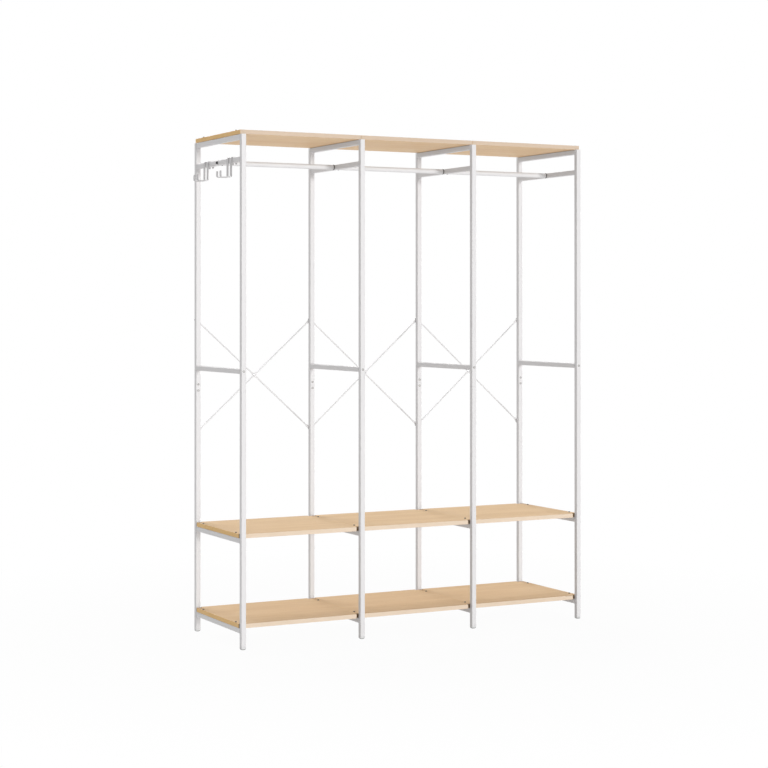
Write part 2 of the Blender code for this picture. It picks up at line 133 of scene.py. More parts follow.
# Screws and bolts
BOARD_SCREW_ROWS = (-0.157, 0.140)   # from the middle of the depth
BOARD_SCREW_ASIDE = 0.004            # to the left of the middle of the frame, clear of the seam of two boards
BOARD_SCREW_HEAD = 0.0034
BOARD_SCREW_HEIGHT = 0.0032
SPLICE_SCREW_STEP = 0.0115   # above and below the splice
SPLICE_SCREW_HEAD = 0.0046
SPLICE_SCREW_HEIGHT = 0.0018
BAR_BOLT_HEAD = 0.0046
BAR_BOLT_HEIGHT = 0.0020
RAIL_BOLT_HEAD = 0.0046
RAIL_BOLT_HEIGHT = 0.0052
BRACE_WASHER = 0.0065
BRACE_WASHER_THICKNESS = 0.0012
BRACE_NUT = 0.0057
BRACE_NUT_HEIGHT = 0.0100
NUT_EDGE_ROUND = 0.0003
NUT_DOME = 0.78              # share of the nut's own radius
SPACER_HOLE = 0.0026
SPACER_INSET = 0.001         # how much slimmer a spacer is than a washer
HEAD_TAPER = 0.94            # this and the next four: shares of a head's radius or height
HEAD_ROUNDING = 0.45
RECESS_WIDTH = 0.55
RECESS_DEPTH = 0.6
RECESS_TAPER = 0.85
CROSS_ARM = 20               # half the angle of a cross arm, in degrees
CROSS_WAIST = 0.4

# Facets
CORNER_STEPS = 5
DOME_STEPS = 6
TAPER_STEPS = 6
FOLD_STEPS = 7
RIM_STEPS = 3
HEAD_STEPS = 4
NUT_STEPS = 2
BEAD_STEPS = 2
ROUND_SIDES = 40
HEAD_SIDES = 24
NUT_SIDES = 6
SQUARE_ON = 0.9              # share of a face's normal along an axis that counts as square to it
MERGE_DISTANCE = 0.000001

# Patterns of the finishes: cells per metre, along each axis where there are three
COAT_CELLS = 900.0
MOULD_CELLS = 1600.0
OXIDE_CELLS = 2600.0
LAMINATE_CELLS = 700.0
CHIP_CELLS = 420.0
PATCH_CELLS = 900.0
GLOSS_CELLS = (9.0, 9.0, 5.0)
HANDLED_CELLS = (60.0, 60.0, 26.0)
BAND_CELLS = (1.6, 17.0, 17.0)
STREAK_CELLS = (5.5, 150.0, 150.0)
PORE_CELLS = (48.0, 900.0, 900.0)
DUST_CELLS = (900.0, 900.0, 900.0)
MARK_CELLS = (260.0, 1900.0, 600.0)
NOISE_SPAN = (0.3, 0.7)      # where most of a noise's values lie
GLOSS_SWING = 0.05           # slow change of roughness over a skin
HANDLED_DULLING = 0.07       # added roughness in patches, as from handling
GRAIN_SHIFT = {"X": 1.37, "Y": 0.61, "Z": 0.43}   # metres between the grain of one board and the next
STREAK_SHARE = 0.55
PORE_SHARE = 0.45
MOULD_PEEL = 0.00002
GRAIN_DEPTH = 0.00005
CHIP_DEPTH = 0.0004
MARK_DEPTH = 0.00003

# The rack's own places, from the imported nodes
LADDER_LOW, LADDER_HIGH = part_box("left_end_lower_frame")
UPPER_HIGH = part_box("left_end_upper_frame")[1]
TUBE = LADDER_HIGH.x - LADDER_LOW.x
BAR = TUBE - 2 * BAR_INSET
PLUG_SECTION = TUBE - 2 * TUBE_WALL - 2 * PLUG_FIT
FRONT_FACE = LADDER_LOW.y
REAR_FACE = LADDER_HIGH.y
ROW_Y = (FRONT_FACE + TUBE / 2, REAR_FACE - TUBE / 2)
MIDDLE_Y = (FRONT_FACE + REAR_FACE) / 2
BAR_SPAN = REAR_FACE - FRONT_FACE - 2 * TUBE
SPLICE = (LADDER_HIGH.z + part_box("left_end_upper_frame")[0].z) / 2
FRAME_X = [sum(corner.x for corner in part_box(f"{name}_lower_frame")) / 2 for name in FRAME_NAMES]
BAY_X = [(left + right) / 2 for left, right in zip(FRAME_X, FRAME_X[1:])]
BAY_PITCH = FRAME_X[1] - FRAME_X[0]
LEVELS = ("bottom_shelf", "lower_shelf", "top")
BOARD_TOPS = [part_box(f"left_{level}_board")[1].z for level in LEVELS]
BAR_HEIGHTS = [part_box(f"left_{level}_board")[0].z - TOUCH - BAR / 2 for level in LEVELS[:2]]
RAIL_LOW, RAIL_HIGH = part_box("left_hanging_rod")
RAIL_HEIGHT = (RAIL_LOW.z + RAIL_HIGH.z) / 2
RAIL_RADIUS = (RAIL_HIGH.z - RAIL_LOW.z) / 2
TOP_BAR_HEIGHT = UPPER_HIGH.z - BAR_INSET - BAR / 2
MIDDLE_BAR_HEIGHT = sum(corner.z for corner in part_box("left_end_middle_bar")) / 2
BRACE_SLOPE = math.atan2(BRACE_HIGH - BRACE_LOW, BAY_PITCH)
BRACE_HALF = math.hypot(BAY_PITCH, BRACE_HIGH - BRACE_LOW) / 2
BRACE_TAB_LENGTH = (TUBE / 2 + BRACE_TAB_PAST) / math.cos(BRACE_SLOPE)

# Camera, as solved from the uprights and boards in the photograph
IMAGE_SIZE = 768
FOCAL_PIXELS = 1845.2
HORIZON_SHIFT_PIXELS = 84
SENSOR = 36.0
CAMERA_FROM_CORNER = Vector((-2.5321, -5.8656, 1.1854))  # from the front left foot's corner
CAMERA_HEADING = math.radians(27.763)
CAMERA_RISE = math.radians(0.22)

# Light: a sky that dims to the left, a low softbox in front and a higher one behind
SKY_LEFT = 0.34
SKY_RIGHT = 0.47
SKY_SPREAD = 0.7          # sideways share of the direction at which the sky stops changing
# Softboxes in degrees, each turn counted to the right from the front of the rack
FRONT_SOFTBOX = {"strength": 1.36, "turn": 8.0, "elevation": 5.5, "softness": 9.0}
BACK_SOFTBOX = {"strength": 1.72, "turn": -177.0, "elevation": 34.0, "softness": 30.0}
FLOOR_WHITE_NEAR = 0.95   # share of plain white in the floor as it is seen, near the rack
FLOOR_FADE = (0.9, 2.2)   # distances between which the floor runs out to plain white
FLOOR_HALF = 30.0
FLOOR_TONE = 0.40
FLOOR_GLOW = 0.36         # light that the floor sheds by itself, as a light table does
BOUNCE_MUTED = 0.75       # share of plain grey in the light that the boards throw on other pieces
BOUNCE_TONE = (0.80, 0.80, 0.80)
UNDERSIDE_BOUNCE_TONE = (0.45, 0.45, 0.45)


# Shader helpers

def add_node(tree, kind, values=None, **settings):
    """A shader node with its settings, and plain values for its input sockets by name."""
    node = tree.nodes.new(kind)
    for name, setting in settings.items():
        setattr(node, name, setting)
    for name, value in (values or {}).items():
        node.inputs[name].default_value = value
    return node


def feed(tree, socket, value):
    """Give an input socket a link from another socket, or a plain value."""
    if isinstance(value, bpy.types.NodeSocket):
        tree.links.new(value, socket)
    else:
        socket.default_value = value


def math_node(tree, operation, first, second):
    """Two sockets or numbers through one Math node."""
    node = add_node(tree, "ShaderNodeMath", operation=operation)
    feed(tree, node.inputs[0], first)
    feed(tree, node.inputs[1], second)
    return node.outputs[0]


def ramp_node(tree, value, low, high, start=0.0, end=1.0):
    """A value mapped from one range to another, held inside it."""
    node = add_node(tree, "ShaderNodeMapRange",
                    {"From Min": low, "From Max": high, "To Min": start, "To Max": end})
    tree.links.new(value, node.inputs["Value"])
    return node.outputs["Result"]


def stretched_noise(tree, vector, cells, detail=3.0, roughness=0.55, distortion=0.0):
    """Noise on object coordinates, with its own number of cells per metre along each axis."""
    mapping = add_node(tree, "ShaderNodeMapping", {"Scale": cells})
    noise = add_node(tree, "ShaderNodeTexNoise",
                     {"Scale": 1.0, "Detail": detail, "Roughness": roughness, "Distortion": distortion})
    tree.links.new(vector, mapping.inputs["Vector"])
    tree.links.new(mapping.outputs["Vector"], noise.inputs["Vector"])
    return noise.outputs["Fac"]


def blend_colours(tree, factor, first, second):
    """Between two colours, each a socket or a plain colour."""
    node = add_node(tree, "ShaderNodeMix", data_type="RGBA")
    tree.links.new(factor, node.inputs["Factor"])
    for socket, colour in ((node.inputs[6], first), (node.inputs[7], second)):
        feed(tree, socket, (*colour, 1.0) if isinstance(colour, tuple) else colour)
    return node.outputs[2]


def start_group(name, inputs, outputs):
    """An empty shader node group with its sockets, and its two ends."""
    group = bpy.data.node_groups.new(name, "ShaderNodeTree")
    for direction, sockets in (("INPUT", inputs), ("OUTPUT", outputs)):
        for socket_name, kind in sockets:
            group.interface.new_socket(name=socket_name, in_out=direction, socket_type=f"NodeSocket{kind}")
    return group, group.nodes.new("NodeGroupInput").outputs, group.nodes.new("NodeGroupOutput").inputs


def use_group(tree, group, values):
    """The outputs of a node group, with a socket or a plain value for each of its inputs."""
    node = add_node(tree, "ShaderNodeGroup", node_tree=group)
    for name, value in values.items():
        feed(tree, node.inputs[name], value)
    return node.outputs


def start_material(name, **sockets):
    """A material with its Principled shader's constant sockets set, and its object coordinates."""
    material = bpy.data.materials.new(name)
    material.use_nodes = True
    tree = material.node_tree
    shader = tree.nodes["Principled BSDF"]
    for socket, value in sockets.items():
        shader.inputs[socket.replace("_", " ")].default_value = value
    coordinates = tree.nodes.new("ShaderNodeTexCoord").outputs["Object"]
    return material, tree, shader.inputs, coordinates


def add_bump(tree, shader, height, depth):
    """Surface relief of the given depth in metres."""
    bump = add_node(tree, "ShaderNodeBump", {"Strength": 1.0, "Distance": depth})
    tree.links.new(height, bump.inputs["Height"])
    tree.links.new(bump.outputs["Normal"], shader["Normal"])


# Effects shared by several finishes

def skin_group():
    """Fine orange peel of a sprayed or moulded skin, with slow changes of gloss and of tone."""
    group, given, result = start_group(
        "moulded_or_sprayed_skin",
        (("Vector", "Vector"), ("Cells per metre", "Float"), ("Roughness", "Float")),
        (("Height", "Float"), ("Roughness", "Float"), ("Tone", "Float")))
    peel = add_node(group, "ShaderNodeTexNoise", {"Detail": 2.0, "Roughness": 0.45})
    group.links.new(given["Vector"], peel.inputs["Vector"])
    group.links.new(given["Cells per metre"], peel.inputs["Scale"])
    gloss = stretched_noise(group, given["Vector"], GLOSS_CELLS, detail=4.0)
    handled = stretched_noise(group, given["Vector"], HANDLED_CELLS, roughness=0.6)
    swing = math_node(group, "ADD", ramp_node(group, gloss, *NOISE_SPAN, -GLOSS_SWING, GLOSS_SWING),
                      ramp_node(group, handled, 0.55, 0.8, 0.0, HANDLED_DULLING))
    group.links.new(peel.outputs["Fac"], result["Height"])
    group.links.new(math_node(group, "ADD", given["Roughness"], swing), result["Roughness"])
    group.links.new(gloss, result["Tone"])
    return group


def grain_group():
    """Figure of a straight cut board with its grain along X: slow bands, streaks and short pores."""
    group, given, result = start_group(
        "straight_wood_grain", (("Vector", "Vector"), ("Board", "Float")),
        (("Bands", "Float"), ("Streaks", "Float"), ("Pores", "Float"), ("Height", "Float")))
    shift = add_node(group, "ShaderNodeCombineXYZ")
    for axis, step in GRAIN_SHIFT.items():
        group.links.new(math_node(group, "MULTIPLY", given["Board"], step), shift.inputs[axis])
    moved = add_node(group, "ShaderNodeVectorMath", operation="ADD")
    group.links.new(given["Vector"], moved.inputs[0])
    group.links.new(shift.outputs["Vector"], moved.inputs[1])
    vector = moved.outputs["Vector"]
    bands = stretched_noise(group, vector, BAND_CELLS, detail=2.0, distortion=0.35)
    streaks = stretched_noise(group, vector, STREAK_CELLS, detail=4.0, roughness=0.62, distortion=0.12)
    dashes = stretched_noise(group, vector, PORE_CELLS, detail=1.0)
    pores = ramp_node(group, dashes, 0.60, 0.74)
    group.links.new(ramp_node(group, bands, 0.32, 0.68), result["Bands"])
    group.links.new(ramp_node(group, streaks, *NOISE_SPAN), result["Streaks"])
    group.links.new(pores, result["Pores"])
    ridges = math_node(group, "MULTIPLY", streaks, 0.5)
    group.links.new(math_node(group, "SUBTRACT", ridges, pores), result["Height"])
    return group


SKIN = skin_group()
GRAIN = grain_group()


# Finishes

def sprayed_finish(name, light, dark, roughness, cells, peel_depth):
    """Powder coat, or a plain moulding: two near tones, uneven gloss and, where it has a depth, fine peel."""
    material, tree, shader, coordinates = start_material(name)
    skin = use_group(tree, SKIN, {"Vector": coordinates, "Cells per metre": cells, "Roughness": roughness})
    tone = ramp_node(tree, skin["Tone"], *NOISE_SPAN)
    tree.links.new(blend_colours(tree, tone, dark, light), shader["Base Color"])
    tree.links.new(skin["Roughness"], shader["Roughness"])
    if peel_depth:
        add_bump(tree, shader, skin["Height"], peel_depth)
    return material


def board_finish(name, pale, deep, streak, pore, roughness, bounce_tone=BOUNCE_TONE):
    """Wood grain of one board face, told apart from its neighbours by the board's own number."""
    material, tree, shader, coordinates = start_material(name, Specular_IOR_Level=0.15)
    number = add_node(tree, "ShaderNodeAttribute", attribute_name="board_number")
    grain = use_group(tree, GRAIN, {"Vector": coordinates, "Board": number.outputs["Fac"]})
    bounced = tree.nodes.new("ShaderNodeLightPath").outputs["Is Diffuse Ray"]
    colour = blend_colours(tree, grain["Bands"], deep, pale)
    for mask, share, over in ((grain["Streaks"], STREAK_SHARE, streak), (grain["Pores"], PORE_SHARE, pore),
                              (bounced, BOUNCE_MUTED, bounce_tone)):
        colour = blend_colours(tree, math_node(tree, "MULTIPLY", mask, share), colour, over)
    tree.links.new(colour, shader["Base Color"])
    skin = use_group(tree, SKIN, {"Vector": coordinates, "Cells per metre": LAMINATE_CELLS,
                                  "Roughness": roughness})
    tree.links.new(skin["Roughness"], shader["Roughness"])
    add_bump(tree, shader, grain["Height"], GRAIN_DEPTH)
    return material


def chipboard_finish():
    """Cut core of a board: pressed chips in mixed browns, rough and open."""
    material, tree, shader, coordinates = start_material("cut_chipboard_core", Specular_IOR_Level=0.2)
    chips = add_node(tree, "ShaderNodeTexVoronoi", {"Scale": CHIP_CELLS, "Randomness": 1.0})
    tree.links.new(coordinates, chips.inputs["Vector"])
    dust = stretched_noise(tree, coordinates, DUST_CELLS)
    chip, glue, splinter = (0.30, 0.19, 0.105), (0.17, 0.10, 0.052), (0.40, 0.28, 0.165)
    mixed = blend_colours(tree, chips.outputs["Distance"], chip, glue)
    tree.links.new(blend_colours(tree, ramp_node(tree, dust, 0.45, 0.75), mixed, splinter),
                   shader["Base Color"])
    tree.links.new(ramp_node(tree, dust, *NOISE_SPAN, start=0.75, end=0.95), shader["Roughness"])
    add_bump(tree, shader, math_node(tree, "ADD", chips.outputs["Distance"], dust), CHIP_DEPTH)
    return material


def plated_finish(name, bright, dull, roughness):
    """Plated steel: fine crystal patches and hairline marks of tumbling."""
    material, tree, shader, coordinates = start_material(name, Metallic=1.0)
    patches = add_node(tree, "ShaderNodeTexVoronoi", {"Scale": PATCH_CELLS, "Randomness": 1.0})
    tree.links.new(coordinates, patches.inputs["Vector"])
    marks = stretched_noise(tree, coordinates, MARK_CELLS, detail=2.0)
    tree.links.new(blend_colours(tree, patches.outputs["Distance"], bright, dull), shader["Base Color"])
    worn = ramp_node(tree, marks, *NOISE_SPAN, start=roughness - 0.08, end=roughness + 0.1)
    tree.links.new(worn, shader["Roughness"])
    add_bump(tree, shader, marks, MARK_DEPTH)
    return material


COAT = sprayed_finish(
    "white_powder_coat", (0.860, 0.845, 0.848), (0.835, 0.820, 0.823), 0.42, COAT_CELLS, peel_depth=0.00001)
BRACE_COAT = sprayed_finish(
    "white_thin_rod_coat", (0.870, 0.858, 0.865), (0.850, 0.838, 0.845), 0.46, COAT_CELLS, peel_depth=0.0)
# Painted shade: a greyer copy of the white powder coat, which darkens the hooks.
SHADED_HOOK_COAT = sprayed_finish(
    "white_hook_coat_painted_shade", (0.755, 0.742, 0.745), (0.725, 0.712, 0.715), 0.40, COAT_CELLS, peel_depth=0.00001)
# Painted light: a paler copy of the white powder coat, which lifts the rails under the top boards.
LIT_RAIL_COAT = sprayed_finish(
    "white_rail_coat_painted_light", (0.895, 0.885, 0.890), (0.870, 0.860, 0.865), 0.36, COAT_CELLS, peel_depth=0.000005)
FOOT_PLASTIC = sprayed_finish(
    "white_moulded_foot", (0.83, 0.83, 0.825), (0.79, 0.79, 0.785), 0.5, MOULD_CELLS, MOULD_PEEL)
# Painted shade: a darker grey copy of the foot's white plastic, for the shade under the domed foot.
FOOT_UNDERSIDE_SHADE = sprayed_finish(
    "grey_foot_underside_painted_shade", (0.54, 0.54, 0.535), (0.48, 0.48, 0.475), 0.6, MOULD_CELLS, MOULD_PEEL)
# Painted shade: the dark grey of the rails' end plugs stands for the shade where a rail meets its frame.
SHADE_DARK_PLUG = sprayed_finish(
    "grey_plug_painted_shade", (0.23, 0.23, 0.23), (0.19, 0.19, 0.19), 0.5, MOULD_CELLS, MOULD_PEEL)
BLACK_OXIDE = sprayed_finish(
    "black_oxide_bolt", (0.040, 0.040, 0.042), (0.022, 0.022, 0.024), 0.4, OXIDE_CELLS, MOULD_PEEL)
BROWN_SCREW = plated_finish("brown_plated_screw", (0.20, 0.165, 0.135), (0.12, 0.10, 0.082), 0.42)
DARK_NUT = plated_finish("dark_plated_nut", (0.29, 0.285, 0.28), (0.20, 0.197, 0.195), 0.42)
GREY_BOLT = plated_finish("grey_plated_bolt", (0.52, 0.51, 0.50), (0.42, 0.412, 0.405), 0.60)
ZINC = plated_finish("zinc_plated_steel", (0.66, 0.66, 0.67), (0.52, 0.52, 0.53), 0.34)
LAMINATE = board_finish(
    "board_face_wood", pale=(0.905, 0.638, 0.382), deep=(0.813, 0.545, 0.300),
    streak=(0.965, 0.730, 0.468), pore=(0.665, 0.408, 0.215), roughness=0.68)
# Painted light: a paler copy of the face wood on the boards' undersides, which lifts their shade.
LIT_UNDERSIDE = board_finish(
    "board_underside_wood_painted_light", pale=(0.98, 0.675, 0.385), deep=(0.91, 0.585, 0.31),
    streak=(0.99, 0.745, 0.47), pore=(0.72, 0.44, 0.21), roughness=0.50, bounce_tone=UNDERSIDE_BOUNCE_TONE)
EDGE_BAND = board_finish(
    "board_long_edge_band", pale=(0.90, 0.735, 0.57), deep=(0.86, 0.690, 0.52),
    streak=(0.93, 0.775, 0.62), pore=(0.74, 0.55, 0.39), roughness=0.42)
# Painted shade: a darker copy of the long edge band, for the top boards' front edges.
SHADED_TOP_EDGE_BAND = board_finish(
    "top_board_edge_band_painted_shade", pale=(0.770, 0.612, 0.466), deep=(0.725, 0.565, 0.425),
    streak=(0.81, 0.65, 0.51), pore=(0.62, 0.46, 0.32), roughness=0.42)
END_BAND = board_finish(
    "board_short_edge_band", pale=(0.97, 0.62, 0.26), deep=(0.91, 0.565, 0.215),
    streak=(0.98, 0.67, 0.31), pore=(0.74, 0.43, 0.16), roughness=0.45)
CHIPBOARD = chipboard_finish()


# Mesh helpers

def copy_into(bm, mesh, place=Matrix()):
    """Add a copy of a mesh to a bmesh, at its place."""
    before = len(bm.verts)
    bm.from_mesh(mesh)
    bm.verts.ensure_lookup_table()
    bmesh.ops.transform(bm, matrix=place, verts=bm.verts[before:])


def as_mesh(bm, name):
    """Turn a bmesh into a mesh, and free it."""
    mesh = bpy.data.meshes.new(name)
    bm.to_mesh(mesh)
    bm.free()
    return mesh


def join_into(bm, other):
    """Add a bmesh to another one, and free it."""
    mesh = as_mesh(other, "joined")
    copy_into(bm, mesh)
    bpy.data.meshes.remove(mesh)


def round_edges(bm, edges, radius, steps):
    """Round off some edges of a bmesh."""
    bmesh.ops.bevel(bm, geom=edges, offset=radius, segments=steps, profile=0.5, affect="EDGES", material=-1)


def add_drum(bm, sides, radius, height, middle, top_share=1.0):
    """A solid about Z with many sides, which may narrow to its top."""
    bmesh.ops.create_cone(bm, cap_ends=True, segments=sides, radius1=radius, radius2=radius * top_share,
                          depth=height, matrix=Matrix.Translation((0, 0, middle)))


def add_piece(name, bm, materials, nodes=(), body="rack", sharp=40.0, flat_faces=False):
    """A finished piece from its bmesh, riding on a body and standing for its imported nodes."""
    mesh = as_mesh(bm, name)
    mesh.shade_smooth()
    mesh.set_sharp_from_angle(angle=math.radians(sharp))
    for material in materials:
        mesh.materials.append(material)
    piece = bpy.data.objects.new(name, mesh)
    bpy.context.scene.collection.objects.link(piece)
    if flat_faces:
        piece.modifiers.new("flat_faces", "WEIGHTED_NORMAL").keep_sharp = True
    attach(piece, body)
    if nodes:
        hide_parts(*nodes)
    return piece


def add_rounded_bar(bm, section, length, axis, middle):
    """A square bar along one axis, its four long edges rolled round."""
    size = [section] * 3
    size[axis] = length
    placed = Matrix.Translation(middle) @ Matrix.Diagonal((*size, 1.0))
    verts = bmesh.ops.create_cube(bm, size=1.0, matrix=placed)["verts"]
    edges = {edge for vert in verts for edge in vert.link_edges}
    long_edges = [edge for edge in edges
                  if abs(edge.verts[0].co[axis] - edge.verts[1].co[axis]) > length / 2]
    round_edges(bm, long_edges, TUBE_CORNER, CORNER_STEPS)


def add_walls(bm, axis, wall):
    """Open the ends of solid bars along an axis and give what is left its wall, inwards."""
    ends = [face for face in bm.faces if abs(face.normal[axis]) > SQUARE_ON]
    bmesh.ops.delete(bm, geom=ends, context="FACES_ONLY")
    bmesh.ops.solidify(bm, geom=bm.faces[:], thickness=wall)


def square_tubes(section, axis, runs):
    """Lengths of square tube along one axis, from pairs of length and middle."""
    bm = bmesh.new()
    for length, middle in runs:
        add_rounded_bar(bm, section, length, axis, middle)
    add_walls(bm, axis, TUBE_WALL)
    return bm


def pull_face(bm, face, lift, share=1.0):
    """Pull a face along Z and scale it about the Z axis, with walls left behind it."""
    pulled = bmesh.ops.extrude_face_region(bm, geom=[face])["geom"]
    bmesh.ops.delete(bm, geom=[face], context="FACES_ONLY")
    verts = [item for item in pulled if isinstance(item, bmesh.types.BMVert)]
    bmesh.ops.scale(bm, verts=verts, vec=(share, share, 1.0))
    bmesh.ops.translate(bm, verts=verts, vec=(0, 0, lift))
    return next(item for item in pulled if isinstance(item, bmesh.types.BMFace))


def turned(profile, closed):
    """A shape turned about Z from (radius, height) pairs, either a closed ring or one that meets the axis."""
    bm = bmesh.new()
    points = [bm.verts.new((radius, 0, height)) for radius, height in profile]
    ends = points[1:] + points[:1] if closed else points[1:]
    edges = [bm.edges.new(pair) for pair in zip(points, ends)]
    bmesh.ops.spin(bm, geom=points + edges, cent=(0, 0, 0), axis=(0, 0, 1), angle=2 * math.pi,
                   steps=ROUND_SIDES, use_merge=True)
    bmesh.ops.remove_doubles(bm, verts=bm.verts, dist=MERGE_DISTANCE)
    bmesh.ops.recalc_face_normals(bm, faces=bm.faces)
    return bm


def facing(direction, place):
    """A frame whose Z axis points in a direction, at a place."""
    return Matrix.Translation(place) @ Vector(direction).to_track_quat("Z", "Y").to_matrix().to_4x4()


def wire_ring_mesh(name, points, radii, radius):
    """A round wire along a ring of points, with its own thickness at each point."""
    curve = bpy.data.curves.new(name, "CURVE")
    curve.dimensions = "3D"
    curve.bevel_depth = radius
    curve.bevel_resolution = BEAD_STEPS
    spline = curve.splines.new("POLY")
    spline.use_cyclic_u = True
    spline.points.add(len(points) - 1)
    for point, place, share in zip(spline.points, points, radii):
        point.co = (*place, 1.0)
        point.radius = share
    wire = bpy.data.objects.new(name, curve)
    bpy.context.scene.collection.objects.link(wire)
    mesh = bpy.data.meshes.new_from_object(wire.evaluated_get(bpy.context.evaluated_depsgraph_get()))
    bpy.data.objects.remove(wire, do_unlink=True)
    bm = bmesh.new()
    bm.from_mesh(mesh)
    bmesh.ops.remove_doubles(bm, verts=bm.verts, dist=MERGE_DISTANCE)
    bmesh.ops.recalc_face_normals(bm, faces=bm.faces)
    bpy.data.meshes.remove(mesh)
    return as_mesh(bm, name)


def rounded_path(corners, radii, steps):
    """The corners of a folded strip, each inner one replaced by an arc that touches both of its runs."""
    path = [corners[0]]
    for before, corner, after, radius in zip(corners, corners[1:], corners[2:], radii):
        back = (before - corner).normalized()
        on = (after - corner).normalized()
        half_angle = back.angle(on) / 2
        centre = corner + (back + on).normalized() * radius / math.sin(half_angle)
        start = corner + back * radius / math.tan(half_angle) - centre
        end = corner + on * radius / math.tan(half_angle) - centre
        sweep = math.pi - 2 * half_angle
        for step in range(steps + 1):
            path.append(centre + Matrix.Rotation(sweep * step / steps, 3, start.cross(end)) @ start)
    path.append(corners[-1])
    return path


# Side frames

def weld_bead_mesh():
    """The rippled bead round a bar's end, in the plane across Y."""
    half = BAR / 2
    inner = half - TUBE_CORNER
    steps = WELD_RIPPLE_POINTS * WELD_RIPPLES_PER_SIDE
    points = []
    for quarter in range(4):
        spun = Matrix.Rotation(quarter * math.pi / 2, 3, "Y")
        for step in range(steps):
            points.append(spun @ Vector((half, 0, inner - 2 * inner * step / steps)))
        for step in range(CORNER_STEPS):
            angle = math.pi / 2 * step / CORNER_STEPS
            bend = Vector((math.cos(angle), 0, -math.sin(angle))) * TUBE_CORNER
            points.append(spun @ (Vector((inner, 0, -inner)) + bend))
    turn = 2 * math.pi / WELD_RIPPLE_POINTS
    ripple = [1.0 + WELD_RIPPLE * math.cos(turn * place) for place in range(len(points))]
    return wire_ring_mesh("weld_bead", points, ripple, WELD_BEAD)


def ladder(x, low, high, bar_heights, bead):
    """Two uprights with their welded bars."""
    length = high - low
    uprights = square_tubes(TUBE, 2, [(length, (x, row, low + length / 2)) for row in ROW_Y])
    bar_length = BAR_SPAN + 2 * WELD_DEPTH
    bars = square_tubes(BAR, 1, [(bar_length, (x, MIDDLE_Y, height)) for height in bar_heights])
    join_into(uprights, bars)
    for height in bar_heights:
        for side in (-1, 1):
            seat = MIDDLE_Y + side * (BAR_SPAN / 2 + WELD_BEAD_SINK)
            copy_into(uprights, bead, Matrix.Translation((x, seat, height)))
    for vert in uprights.verts:
        vert.co.z = min(vert.co.z, high)  # the top bar's beads are ground flush, so that the board lies flat
    return uprights


def foot(x, row, height):
    """A domed foot as wide as the tube, with its plug up inside, and darker grey on its downward faces as
    painted shade.
    """
    bm = bmesh.new()
    straight = height - CAP_ROUND
    add_rounded_bar(bm, TUBE, straight, 2, (0, 0, CAP_ROUND + straight / 2))
    sole = min(bm.faces, key=lambda face: face.calc_center_median().z)
    top = max(bm.faces, key=lambda face: face.calc_center_median().z)
    reach, drop = TUBE / 2, 0
    for step in range(1, DOME_STEPS + 1):
        angle = math.pi / 2 * step / DOME_STEPS
        next_reach = TUBE / 2 - CAP_ROUND * (1 - math.cos(angle))
        next_drop = CAP_ROUND * math.sin(angle)
        sole = pull_face(bm, sole, drop - next_drop, next_reach / reach)
        reach, drop = next_reach, next_drop
    seat = pull_face(bm, top, 0, PLUG_SECTION / TUBE)
    pull_face(bm, seat, CAP_PLUG_LENGTH)
    bm.normal_update()
    # downward faces take the darker grey, as painted shade under the dome
    for face in bm.faces:
        face.material_index = 1 if face.normal.z < SHADED_UNDERSIDE_SLOPE else 0
    bmesh.ops.translate(bm, verts=bm.verts, vec=(x, row, 0))
    return bm


def top_plugs():
    """Plain plugs in the open upper ends of the uprights, flush with them."""
    bm = bmesh.new()
    height = UPPER_HIGH.z - TOP_PLUG_LENGTH / 2
    for x in FRAME_X:
        for row in ROW_Y:
            add_rounded_bar(bm, PLUG_SECTION, TOP_PLUG_LENGTH, 2, (x, row, height))
    return bm


def build_frames():
    """Side frames, middle bars, feet and top plugs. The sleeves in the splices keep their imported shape."""
    bead = weld_bead_mesh()
    cap_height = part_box("left_end_front_foot_cap")[1].z - CAP_PLUG_LENGTH
    for name, x in zip(FRAME_NAMES, FRAME_X):
        for part, bar_heights in (("lower", BAR_HEIGHTS), ("upper", (RAIL_HEIGHT, TOP_BAR_HEIGHT))):
            node = f"{name}_{part}_frame"
            low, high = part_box(node)
            add_piece(f"{name}_{part}_ladder", ladder(x, low.z, high.z, bar_heights, bead), [COAT],
                      [node], flat_faces=True)
        bar_run = [(BAR_SPAN - 2 * TOUCH, (x, MIDDLE_Y, MIDDLE_BAR_HEIGHT))]
        add_piece(f"{name}_cross_bar", square_tubes(BAR, 1, bar_run), [COAT],
                  [f"{name}_middle_bar"], flat_faces=True)
        for row_name, row in zip(ROW_NAMES, ROW_Y):
            add_piece(f"{name}_{row_name}_foot", foot(x, row, cap_height), [FOOT_PLASTIC, FOOT_UNDERSIDE_SHADE],
                      [f"{name}_{row_name}_foot_cap"], flat_faces=True)
            sleeve = frame["nodes"][f"{name}_{row_name}_joint_sleeve"]
            sleeve.data.materials.clear()
            sleeve.data.materials.append(ZINC)
    add_piece("upright_top_plugs", top_plugs(), [FOOT_PLASTIC], flat_faces=True)


# Boards

FACE, UNDERFACE, LONG_EDGE, SHORT_EDGE, CORE = range(5)


def board_outline(low, high, left_notch, right_notch, notch_depth):
    """Corners of a board from above, with a step round an upright at each notched corner."""
    points = []
    for side_x, side_y in ((-1, -1), (1, -1), (1, 1), (-1, 1)):
        end = low.x if side_x < 0 else high.x
        edge = low.y if side_y < 0 else high.y
        notch = left_notch if side_x < 0 else right_notch
        if not notch_depth:
            points.append((end, edge))
            continue
        step = [(end, edge - side_y * notch_depth), (end - side_x * notch, edge - side_y * notch_depth),
                (end - side_x * notch, edge)]
        points.extend(step if side_x == side_y else reversed(step))
    return points


